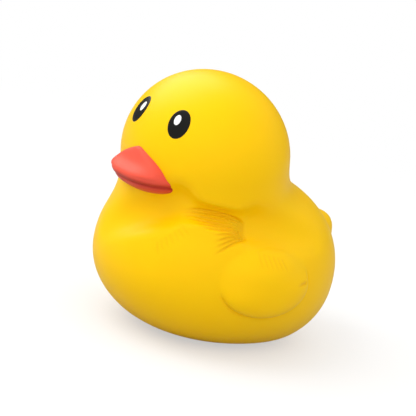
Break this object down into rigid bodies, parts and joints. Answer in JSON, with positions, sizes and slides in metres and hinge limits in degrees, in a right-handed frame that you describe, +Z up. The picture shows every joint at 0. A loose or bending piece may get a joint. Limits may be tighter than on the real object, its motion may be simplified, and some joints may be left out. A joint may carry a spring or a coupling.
{
  "type": "squishy toy duck",
  "caption": "Soft foam toy duck with a round head, painted red bill, printed eyes and raised wings, pressed at the neck, standing on a flat base.",
  "frame": {"origin": "middle of the flat base", "axes": "+X towards the bill, +Y towards the duck's left side, +Z up"},
  "size_m": [0.2071, 0.172, 0.1884],
  "materials": {
    "yellow_foam": "satin skin of slow-rising polyurethane foam, bright yellow",
    "bill_paint": "satin red-orange paint on the foam bill",
    "eye_print": "black print on the foam skin",
    "glint_print": "white print on the black of each eye"
  },
  "bodies": {
    "root": {"squishy_duck": "yellow_foam"}
  },
  "joints": []
}
